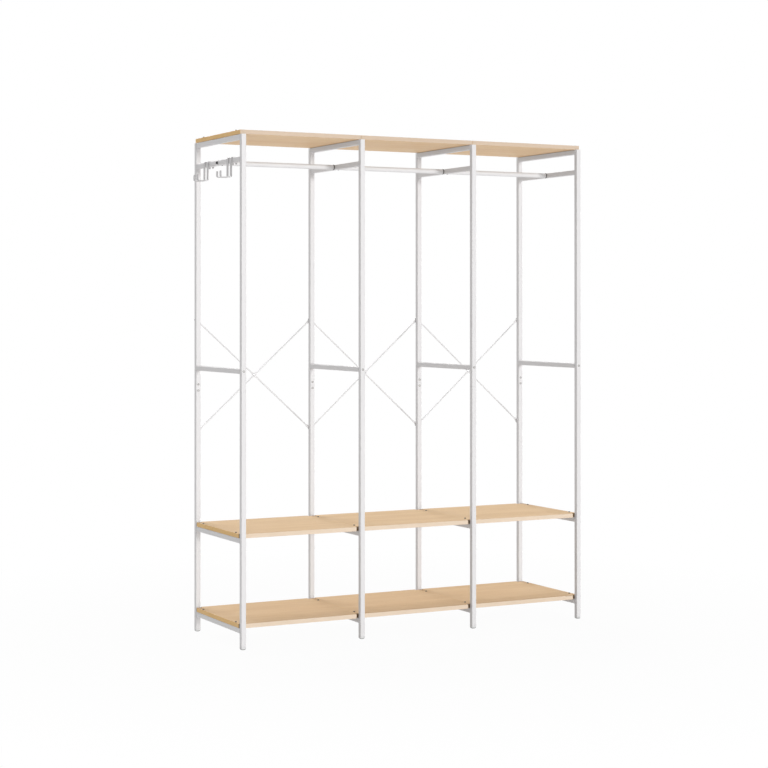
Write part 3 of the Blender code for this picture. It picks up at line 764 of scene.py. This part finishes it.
def board(low, high, outline, number):
    """A board from its outline: faces of wood, banded edges, and the cut core inside the notches."""
    bm = bmesh.new()
    under = bm.faces.new([bm.verts.new((x, y, low.z)) for x, y in outline])
    raised = bmesh.ops.extrude_face_region(bm, geom=[under])["geom"]
    bmesh.ops.translate(bm, verts=[item for item in raised if isinstance(item, bmesh.types.BMVert)],
                        vec=(0, 0, high.z - low.z))
    bmesh.ops.recalc_face_normals(bm, faces=bm.faces)
    for face in bm.faces:
        middle = face.calc_center_median()
        on_end = min(abs(middle.x - low.x), abs(middle.x - high.x)) < TOUCH
        on_edge = min(abs(middle.y - low.y), abs(middle.y - high.y)) < TOUCH
        if abs(face.normal.z) > SQUARE_ON:
            face.material_index = FACE if face.normal.z > 0 else UNDERFACE
        else:
            face.material_index = SHORT_EDGE if on_end else LONG_EDGE if on_edge else CORE
    rims = [edge for edge in bm.edges if edge.calc_face_angle_signed() > BOARD_RIM_ANGLE]
    round_edges(bm, rims, BOARD_EDGE_ROUND, RIM_STEPS)
    layer = bm.verts.layers.float.new("board_number")
    for vert in bm.verts:
        vert[layer] = number
    return bm


def build_boards():
    number = 0
    for bay, bay_name in enumerate(BAY_NAMES):
        for level in LEVELS:
            node = f"{bay_name}_{level}_board"
            low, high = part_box(node)
            left_notch = FRAME_X[bay] + TUBE / 2 + NOTCH_RIGHT_GAP - low.x
            right_notch = high.x - (FRAME_X[bay + 1] - TUBE / 2 - NOTCH_LEFT_GAP)
            depth = 0 if level == "top" else FRONT_FACE + TUBE + NOTCH_BACK_GAP - low.y
            outline = board_outline(low, high, left_notch, right_notch, depth)
            number += 1
            # the top boards get the darker band, painted shade on their front edges
            band = SHADED_TOP_EDGE_BAND if level == "top" else EDGE_BAND
            add_piece(f"{bay_name}_{level}_plank", board(low, high, outline, number),
                      [LAMINATE, LIT_UNDERSIDE, band, END_BAND, CHIPBOARD], [node], flat_faces=True)


# Hanging rails

def rail_profile(length):
    """Wall of a round tube with its cut ends eased."""
    half, soft = length / 2, RAIL_END_ROUND
    inner = RAIL_RADIUS - RAIL_WALL
    return [(inner, -half), (RAIL_RADIUS - soft, -half), (RAIL_RADIUS, -half + soft),
            (RAIL_RADIUS, half - soft), (RAIL_RADIUS - soft, half), (inner, half)]


def plug_profile(flange):
    """Flange below, shank above, with the hole for the rail's bolt."""
    shank = RAIL_RADIUS - RAIL_WALL - PLUG_FIT
    tip = PLUG_FLANGE + PLUG_LENGTH
    soft = PLUG_FLANGE_ROUND
    rounding = [(flange - soft + soft * math.sin(angle), PLUG_FLANGE - soft + soft * math.cos(angle))
                for angle in (0, math.pi / 6, math.pi / 3, math.pi / 2)]
    return [(PLUG_HOLE, tip), (shank, tip), (shank, PLUG_FLANGE), *rounding, (flange, 0), (PLUG_HOLE, 0)]


def build_rails():
    for bay_name in BAY_NAMES:
        low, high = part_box(f"{bay_name}_hanging_rod")
        middle = (low + high) / 2
        tube = turned(rail_profile(high.x - low.x), closed=True)
        bmesh.ops.transform(tube, matrix=facing((1, 0, 0), middle), verts=tube.verts)
        add_piece(f"{bay_name}_rail", tube, [LIT_RAIL_COAT], [f"{bay_name}_hanging_rod"])
        for side_name, side in (("left", 1), ("right", -1)):
            node = f"{bay_name}_rod_{side_name}_end_plug"
            low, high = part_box(node)
            seat = low.x if side > 0 else high.x
            plug = turned(plug_profile((high.z - low.z) / 2), closed=True)
            place = facing((side, 0, 0), (seat, middle.y, middle.z))
            bmesh.ops.transform(plug, matrix=place, verts=plug.verts)
            add_piece(f"{bay_name}_rail_{side_name}_plug", plug, [SHADE_DARK_PLUG], [node])


# Brace rods

def brace_section(along):
    """Half width and half thickness of a brace rod at a distance from its middle."""
    tab = BRACE_TAB_WIDTH / 2
    flat = BRACE_FLAT / 2
    past_hole = along - BRACE_HALF
    if past_hole > 0:
        return math.sqrt(max(tab ** 2 - past_hole ** 2, 0)), flat
    from_tab = max(-past_hole - BRACE_TAB_LENGTH, 0)
    from_cross = max(along - BRACE_CROSS_LENGTH / 2, 0)
    share = min(from_tab, from_cross, BRACE_TAPER) / BRACE_TAPER
    blend = share * share * (3 - 2 * share)
    return tab + (BRACE_RADIUS - tab) * blend, flat + (BRACE_RADIUS - flat) * blend


def brace():
    """A rod along X, hammered flat at both ends and in the middle, with round tab ends."""
    cross = BRACE_CROSS_LENGTH / 2
    tab_start = BRACE_HALF - BRACE_TAB_LENGTH
    tab_end = [BRACE_HALF + math.sin(math.radians(angle)) * BRACE_TAB_WIDTH / 2
               for angle in BRACE_TAB_ANGLES]
    tapers = [start + BRACE_TAPER * step / TAPER_STEPS
              for start in (cross, tab_start - BRACE_TAPER) for step in range(TAPER_STEPS + 1)]
    bm = bmesh.new()
    bmesh.ops.create_cone(bm, cap_ends=True, segments=HEAD_SIDES, radius1=BRACE_RADIUS, radius2=BRACE_RADIUS,
                          depth=2 * tab_end[-1], matrix=Matrix.Rotation(math.pi / 2, 4, "Y"))
    for station in [*tapers, BRACE_HALF, *tab_end[:-1]]:
        for side in (-1, 1):
            bmesh.ops.bisect_plane(bm, geom=bm.verts[:] + bm.edges[:] + bm.faces[:],
                                   plane_co=(side * station, 0, 0), plane_no=(1, 0, 0))
    for vert in bm.verts:
        width, thickness = brace_section(abs(vert.co.x))
        vert.co.y = max(-thickness, min(thickness, vert.co.y))
        vert.co.z *= width / BRACE_RADIUS
    return bm


def pin_profile(half_length):
    """A riveted pin with a domed head at each end."""
    grip = half_length - PIN_DOME
    dome = [(PIN_HEAD * math.cos(angle), grip + PIN_DOME * math.sin(angle))
            for angle in (math.pi / 2, math.pi / 3, math.pi / 4, math.pi / 6, 0)]
    upper = [*dome, (PIN_SHANK, grip)]
    return upper + [(radius, -height) for radius, height in reversed(upper)]


def build_braces():
    for bay_name, x in zip(BAY_NAMES, BAY_X):
        for way, slope in (("rising", -BRACE_SLOPE), ("falling", BRACE_SLOPE)):
            node = f"{bay_name}_{way}_brace_rod"
            low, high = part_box(node)
            rod = brace()
            place = Matrix.Translation((x, (low.y + high.y) / 2, (low.z + high.z) / 2))
            bmesh.ops.transform(rod, matrix=place @ Matrix.Rotation(slope, 4, "Y"), verts=rod.verts)
            add_piece(f"{bay_name}_{way}_brace", rod, [BRACE_COAT], [node], sharp=50.0)
        low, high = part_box(f"{bay_name}_brace_rivet")
        pin = turned(pin_profile((high.y - low.y) / 2), closed=False)
        bmesh.ops.transform(pin, matrix=facing((0, 1, 0), (low + high) / 2), verts=pin.verts)
        add_piece(f"{bay_name}_brace_pin", pin, [ZINC], [f"{bay_name}_brace_rivet"])


# Double hooks

def finger_tip(end, inward):
    """The round end of a finger: places from its tip inwards, each with the finger's half width there."""
    radius = HOOK_FINGER / 2
    angles = [math.radians(degrees) for degrees in HOOK_TIP_ANGLES]
    return [(end + inward * radius * (1 - math.cos(angle)), radius * math.sin(angle)) for angle in angles]


def finger_stations():
    """Down from the prong's tip, up and over the bar and down its inner face, about the bar's middle."""
    face = BAR / 2
    over = face + TOUCH + HOOK_SHEET / 2
    low = -face - HOOK_DROP
    prong = -TUBE / 2 - HOOK_REACH
    tip = Vector((prong, 0, low + HOOK_PRONG))
    inner_tip = Vector((over, 0, face - HOOK_INNER_LEG))
    folds = [Vector(fold) for fold in ((prong, 0, low), (-over, 0, low), (-over, 0, over), (over, 0, over))]
    saddle = TUBE_CORNER + TOUCH + HOOK_SHEET / 2
    path = rounded_path([tip, *folds, inner_tip], [HOOK_BEND, HOOK_BEND, saddle, saddle], FOLD_STEPS)
    stations = finger_tip(tip, Vector((0, 0, -1)))
    stations += [(place, HOOK_FINGER / 2) for place in path[1:-1]]
    return stations + finger_tip(inner_tip, Vector((0, 0, 1)))[::-1]


def hook():
    """A sheet folded along its length and split into two fingers, joined where it lies on the bar."""
    stations = finger_stations()
    rows = len(stations) - 1
    bm = bmesh.new()
    bmesh.ops.create_grid(bm, x_segments=HOOK_COLUMNS, y_segments=rows, size=1.0)
    for vert in bm.verts:
        column = round((vert.co.x + 1) / 2 * HOOK_COLUMNS)
        place, half = stations[round((vert.co.y + 1) / 2 * rows)]
        side = -1 if column < 2 else 1
        edge = -1 if column % 2 == 0 else 1
        vert.co = (place.x, side * HOOK_PITCH / 2 + edge * half, place.z)
    split = [face for face in bm.faces if abs(face.calc_center_median().y) < TOUCH
             and min(vert.co.z for vert in face.verts) < BAR / 2 + TOUCH]
    bmesh.ops.delete(bm, geom=split, context="FACES")
    return as_mesh(bm, "hook_sheet")


def thicken_sheet(piece, sheet, rim):
    """Give a sheet its thickness, half to each side, and ease its rim."""
    solidify = piece.modifiers.new("sheet", "SOLIDIFY")
    solidify.thickness = sheet
    solidify.offset = 0.0
    solidify.use_even_offset = True
    bevel = piece.modifiers.new("eased_rim", "BEVEL")
    bevel.width = rim
    bevel.segments = RIM_STEPS
    bevel.limit_method = "ANGLE"
    bevel.angle_limit = HOOK_RIM_ANGLE
    piece.modifiers.new("flat_faces", "WEIGHTED_NORMAL").keep_sharp = True


def build_hooks():
    sheet = hook()
    for row_name in ROW_NAMES:
        node = f"{row_name}_double_hook"
        low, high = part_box(node)
        bm = bmesh.new()
        copy_into(bm, sheet, Matrix.Translation((FRAME_X[0], (low.y + high.y) / 2, RAIL_HEIGHT)))
        piece = add_piece(f"{row_name}_coat_hook", bm, [SHADED_HOOK_COAT], [node],
                          body=f"{row_name}_hook")
        thicken_sheet(piece, HOOK_SHEET, HOOK_RIM)


# Screws and bolts

def head_mesh(name, radius, height, recess):
    """A low round head standing on Z = 0, with a cross or a hexagon sunk in it."""
    bm = bmesh.new()
    add_drum(bm, HEAD_SIDES, radius, height, height / 2, HEAD_TAPER)
    top = max(bm.faces, key=lambda face: face.calc_center_median().z)
    round_edges(bm, list(top.edges), height * HEAD_ROUNDING, HEAD_STEPS)
    top = max(bm.faces, key=lambda face: face.calc_center_median().z)
    mouth = pull_face(bm, top, 0, RECESS_WIDTH * radius / max(vert.co.xy.length for vert in top.verts))
    for vert in mouth.verts:
        turn = math.degrees(math.atan2(vert.co.y, vert.co.x))
        if recess == "cross":
            from_arm = abs((turn + 45) % 90 - 45)
            share = 1.0 if from_arm < CROSS_ARM else CROSS_WAIST
        else:
            from_flat = turn % 60 - 30
            share = math.cos(math.radians(30)) / math.cos(math.radians(from_flat))
        vert.co.xy *= share
    pull_face(bm, mouth, -RECESS_DEPTH * height, RECESS_TAPER)
    bmesh.ops.recalc_face_normals(bm, faces=bm.faces)
    return as_mesh(bm, name)


def add_heads(name, head, places, material):
    """All heads of one kind as one piece, from pairs of direction and place."""
    bm = bmesh.new()
    for direction, place in places:
        copy_into(bm, head, facing(direction, place))
    add_piece(name, bm, [material], sharp=35.0)


def nut_mesh():
    """Washer and domed nut that hold a brace rod's tab, standing on Z = 0."""
    bm = bmesh.new()
    add_drum(bm, ROUND_SIDES, BRACE_WASHER, BRACE_WASHER_THICKNESS, BRACE_WASHER_THICKNESS / 2)
    rims = [edge for edge in bm.edges if abs(edge.verts[0].co.z - edge.verts[1].co.z) < TOUCH / 2]
    round_edges(bm, rims, NUT_EDGE_ROUND, NUT_STEPS)
    nut = bmesh.new()
    lift = BRACE_WASHER_THICKNESS + BRACE_NUT_HEIGHT / 4
    add_drum(nut, NUT_SIDES, BRACE_NUT, BRACE_NUT_HEIGHT / 2, lift)
    round_edges(nut, nut.edges[:], NUT_EDGE_ROUND, NUT_STEPS)
    rising = [(BRACE_NUT * NUT_DOME * math.cos(angle), BRACE_NUT_HEIGHT / 2 * math.sin(angle))
              for angle in [math.pi / 2 * step / DOME_STEPS for step in range(DOME_STEPS + 1)]]
    dome = turned([(0, 0), *rising], closed=False)
    bmesh.ops.translate(dome, verts=dome.verts, vec=(0, 0, lift + BRACE_NUT_HEIGHT / 4))
    join_into(bm, nut)
    join_into(bm, dome)
    return as_mesh(bm, "brace_nut")


def spacer_mesh(thickness):
    """A ring between an upright and a tab that lies one layer back."""
    rim = BRACE_WASHER - SPACER_INSET
    ring = [(SPACER_HOLE, 0), (rim, 0), (rim, thickness), (SPACER_HOLE, thickness)]
    return as_mesh(turned(ring, closed=True), "brace_spacer")


def build_fasteners():
    last = len(FRAME_X) - 1
    board_screw = head_mesh("board_screw", BOARD_SCREW_HEAD, BOARD_SCREW_HEIGHT, "cross")
    board_places = [((0, 0, 1), (x - BOARD_SCREW_ASIDE, MIDDLE_Y + row, top))
                    for x in FRAME_X for row in BOARD_SCREW_ROWS for top in BOARD_TOPS]
    add_heads("board_screws", board_screw, board_places, BROWN_SCREW)
    splice_screw = head_mesh("splice_screw", SPLICE_SCREW_HEAD, SPLICE_SCREW_HEIGHT, "hexagon")
    inner_faces = ((ROW_Y[0] + TUBE / 2, 1), (ROW_Y[1] - TUBE / 2, -1))
    splice_places = [((0, way, 0), (x, face, SPLICE + step)) for x in FRAME_X for face, way in inner_faces
                     for step in (-SPLICE_SCREW_STEP, SPLICE_SCREW_STEP)]
    add_heads("splice_screws", splice_screw, splice_places, GREY_BOLT)
    bar_bolt = head_mesh("middle_bar_bolt", BAR_BOLT_HEAD, BAR_BOLT_HEIGHT, "hexagon")
    outer_faces = ((FRONT_FACE, -1), (REAR_FACE, 1))
    bar_places = [((0, way, 0), (x, face, MIDDLE_BAR_HEIGHT)) for x in FRAME_X for face, way in outer_faces]
    add_heads("middle_bar_bolts", bar_bolt, bar_places, GREY_BOLT)
    rail_bolt = head_mesh("rail_bolt", RAIL_BOLT_HEAD, RAIL_BOLT_HEIGHT, "hexagon")
    rail_places = [((way, 0, 0), (FRAME_X[index] + way * BAR / 2, MIDDLE_Y, RAIL_HEIGHT))
                   for index, way in ((0, -1), (last, 1))]
    add_heads("rail_bolts", rail_bolt, rail_places, BLACK_OXIDE)
    rising, falling = (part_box(f"left_{way}_brace_rod") for way in ("rising", "falling"))
    front_back = (rising[0].y + rising[1].y) / 2 + BRACE_FLAT / 2
    rear_back = (falling[0].y + falling[1].y) / 2 + BRACE_FLAT / 2
    lone_front = ((0, BRACE_LOW), (last, BRACE_HIGH))
    nut_places = []
    for index, x in enumerate(FRAME_X):
        for height in (BRACE_LOW, BRACE_HIGH):
            back = front_back if (index, height) in lone_front else rear_back
            nut_places.append(((0, 1, 0), (x, back, height)))
    add_heads("brace_nuts", nut_mesh(), nut_places, DARK_NUT)
    spacer_places = [((0, 1, 0), (FRAME_X[index], REAR_FACE, height))
                     for index, height in ((0, BRACE_HIGH), (last, BRACE_LOW))]
    add_heads("brace_spacers", spacer_mesh(rear_back - BRACE_FLAT - REAR_FACE), spacer_places, ZINC)


# Studio

def seen_or_mirrored(tree):
    """One for rays from the camera, mirror rays and rays through glass."""
    path = tree.nodes.new("ShaderNodeLightPath").outputs
    either = math_node(tree, "MAXIMUM", path["Is Camera Ray"], path["Is Glossy Ray"])
    return math_node(tree, "MAXIMUM", either, path["Is Transmission Ray"])


def build_floor():
    """A pale floor that keeps a faint shadow and runs out to plain white."""
    material = bpy.data.materials.new("pale_floor")
    material.use_nodes = True
    tree = material.node_tree
    tree.nodes.clear()
    coordinates = tree.nodes.new("ShaderNodeTexCoord").outputs["Object"]
    distance = add_node(tree, "ShaderNodeVectorMath", operation="LENGTH")
    tree.links.new(coordinates, distance.inputs[0])
    fade = ramp_node(tree, distance.outputs["Value"], *FLOOR_FADE, FLOOR_WHITE_NEAR, 1.0)
    matt = add_node(tree, "ShaderNodeBsdfDiffuse", {"Color": (FLOOR_TONE, FLOOR_TONE, FLOOR_TONE, 1.0)})
    glow = add_node(tree, "ShaderNodeEmission", {"Color": (1.0, 1.0, 1.0, 1.0), "Strength": FLOOR_GLOW})
    white = add_node(tree, "ShaderNodeEmission", {"Color": (1.0, 1.0, 1.0, 1.0), "Strength": 1.0})
    lit = tree.nodes.new("ShaderNodeAddShader")
    mix = tree.nodes.new("ShaderNodeMixShader")
    tree.links.new(matt.outputs["BSDF"], lit.inputs[0])
    tree.links.new(glow.outputs["Emission"], lit.inputs[1])
    tree.links.new(math_node(tree, "MULTIPLY", fade, seen_or_mirrored(tree)), mix.inputs["Fac"])
    tree.links.new(lit.outputs["Shader"], mix.inputs[1])
    tree.links.new(white.outputs["Emission"], mix.inputs[2])
    output = tree.nodes.new("ShaderNodeOutputMaterial")
    tree.links.new(mix.outputs["Shader"], output.inputs["Surface"])
    bm = bmesh.new()
    bmesh.ops.create_grid(bm, x_segments=1, y_segments=1, size=FLOOR_HALF)
    floor = bpy.data.objects.new("studio_floor", as_mesh(bm, "studio_floor"))
    floor.data.materials.append(material)
    bpy.context.scene.collection.objects.link(floor)


def add_softbox(name, strength, turn, elevation, softness):
    """A wide soft lamp, seen from the rack at a turn to the right of its front and at an elevation."""
    lamp = bpy.data.lights.new(name, "SUN")
    lamp.energy = strength
    lamp.angle = math.radians(softness)
    softbox = bpy.data.objects.new(name, lamp)
    turned_by, raised_by = math.radians(turn), math.radians(elevation)
    level = Vector((math.sin(turned_by), -math.cos(turned_by), 0)) * math.cos(raised_by)
    softbox.rotation_euler = (level + Vector((0, 0, math.sin(raised_by)))).to_track_quat("Z", "Y").to_euler()
    bpy.context.scene.collection.objects.link(softbox)


def build_light():
    """A soft sky that looks plain white, and the two softboxes."""
    world = bpy.data.worlds.new("studio")
    bpy.context.scene.world = world
    world.use_nodes = True
    tree = world.node_tree
    tree.nodes.clear()
    soft = add_node(tree, "ShaderNodeBackground", {"Color": (1.0, 1.0, 1.0, 1.0)})
    direction = tree.nodes.new("ShaderNodeSeparateXYZ")
    tree.links.new(tree.nodes.new("ShaderNodeTexCoord").outputs["Generated"], direction.inputs["Vector"])
    strength = ramp_node(tree, direction.outputs["X"], -SKY_SPREAD, SKY_SPREAD, SKY_LEFT, SKY_RIGHT)
    tree.links.new(strength, soft.inputs["Strength"])
    white = add_node(tree, "ShaderNodeBackground", {"Color": (1.0, 1.0, 1.0, 1.0), "Strength": 1.0})
    mix = tree.nodes.new("ShaderNodeMixShader")
    tree.links.new(seen_or_mirrored(tree), mix.inputs["Fac"])
    tree.links.new(soft.outputs["Background"], mix.inputs[1])
    tree.links.new(white.outputs["Background"], mix.inputs[2])
    output = tree.nodes.new("ShaderNodeOutputWorld")
    tree.links.new(mix.outputs["Shader"], output.inputs["Surface"])
    add_softbox("front_softbox", **FRONT_SOFTBOX)
    add_softbox("back_softbox", **BACK_SOFTBOX)


def build_camera():
    data = bpy.data.cameras.new("photo_camera")
    data.sensor_width = SENSOR
    data.lens = FOCAL_PIXELS / IMAGE_SIZE * SENSOR
    data.shift_y = -HORIZON_SHIFT_PIXELS / IMAGE_SIZE
    camera = bpy.data.objects.new("photo_camera", data)
    camera.location = Vector((LADDER_LOW.x, FRONT_FACE, 0)) + CAMERA_FROM_CORNER
    camera.rotation_euler = (math.pi / 2 + CAMERA_RISE, 0, -CAMERA_HEADING)
    bpy.context.scene.collection.objects.link(camera)
    bpy.context.scene.camera = camera


build_camera()
build_floor()
build_light()
build_frames()
build_boards()
build_rails()
build_braces()
build_hooks()
build_fasteners()
bpy.context.scene.view_settings.view_transform = "Standard"
